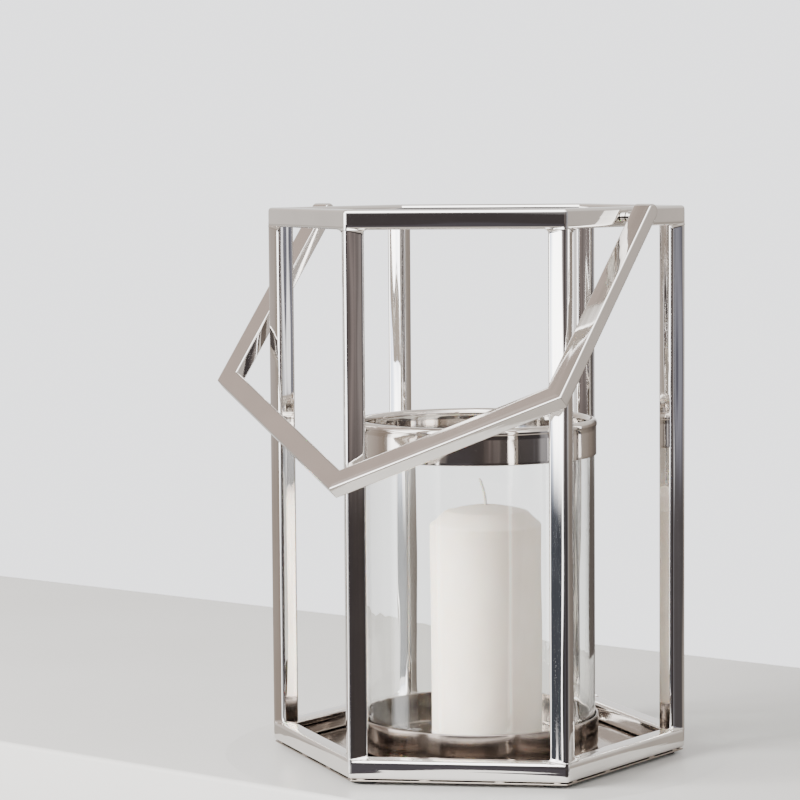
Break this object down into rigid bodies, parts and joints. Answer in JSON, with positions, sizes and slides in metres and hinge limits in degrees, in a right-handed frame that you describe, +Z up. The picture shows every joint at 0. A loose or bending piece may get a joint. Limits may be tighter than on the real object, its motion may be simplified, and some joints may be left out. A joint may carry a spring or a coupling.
{
  "type": "candle lantern",
  "caption": "Hexagonal open-frame candle lantern of polished square tube, with a swinging angular bail handle and a pillar candle in a metal-rimmed glass cylinder.",
  "frame": {"origin": "on the surface the lantern stands on, at the middle of the footprint that the frame and the leaning handle cover together; the lantern's own upright axis is at y = +8.4 mm", "axes": "+Z up; +X along the handle's pivot axis; the handle leans down on the -Y side, against the post at the -Y corner"},
  "size_m": [0.2582, 0.2762, 0.3422],
  "materials": {
    "polished_nickel": "mirror-polished nickel plate on welded steel tube, slightly wavy reflections",
    "nickel_sheet": "polished nickel-plated sheet, a little duller than the tubes",
    "clear_glass": "clear blown or drawn glass, ground ends",
    "ivory_wax": "ivory paraffin wax, translucent, satin",
    "cotton": "waxed braided cotton wick, unburnt",
    "dark_rubber": "thin black self-adhesive pad"
  },
  "bodies": {
    "frame": {"bottom_rail_1": "polished_nickel", "bottom_rail_2": "polished_nickel", "bottom_rail_3": "polished_nickel", "bottom_rail_4": "polished_nickel", "bottom_rail_5": "polished_nickel", "bottom_rail_6": "polished_nickel", "top_rail_1": "polished_nickel", "top_rail_2": "polished_nickel", "top_rail_3": "polished_nickel", "top_rail_4": "polished_nickel", "top_rail_5": "polished_nickel", "top_rail_6": "polished_nickel", "post_1": "polished_nickel", "post_2": "polished_nickel", "post_3": "polished_nickel", "post_4": "polished_nickel", "post_5": "polished_nickel", "post_6": "polished_nickel", "glass_cup": "polished_nickel", "pivot_spacer_right": "polished_nickel", "pivot_spacer_left": "polished_nickel", "pivot_washer_right": "polished_nickel", "pivot_washer_left": "polished_nickel", "base_plate": "nickel_sheet", "foot_1": "dark_rubber", "foot_2": "dark_rubber", "foot_3": "dark_rubber", "foot_4": "dark_rubber", "foot_5": "dark_rubber", "foot_6": "dark_rubber"},
    "handle": {"handle_leg_right": "polished_nickel", "handle_leg_left": "polished_nickel", "handle_roof_right": "polished_nickel", "handle_roof_left": "polished_nickel", "pivot_stud_right": "polished_nickel", "pivot_stud_left": "polished_nickel", "cap_nut_right": "polished_nickel", "cap_nut_left": "polished_nickel"},
    "glass": {"glass_cylinder": "clear_glass", "rim_band": "polished_nickel"},
    "candle": {"candle": "ivory_wax", "wick": "cotton"}
  },
  "joints": [
    {"name": "handle_swing", "type": "hinge", "parent": "frame", "child": "handle", "pos_m": [0, 0.00836, 0.3345], "axis": [-1, 0, 0], "range_deg": [0, 276]},
    {"name": "glass_lift", "type": "slide", "parent": "frame", "child": "glass", "axis": [0, 0, 1], "range_m": [0, 0.34]},
    {"name": "candle_lift", "type": "slide", "parent": "frame", "child": "candle", "axis": [0, 0, 1], "range_m": [0, 0.34]}
  ]
}
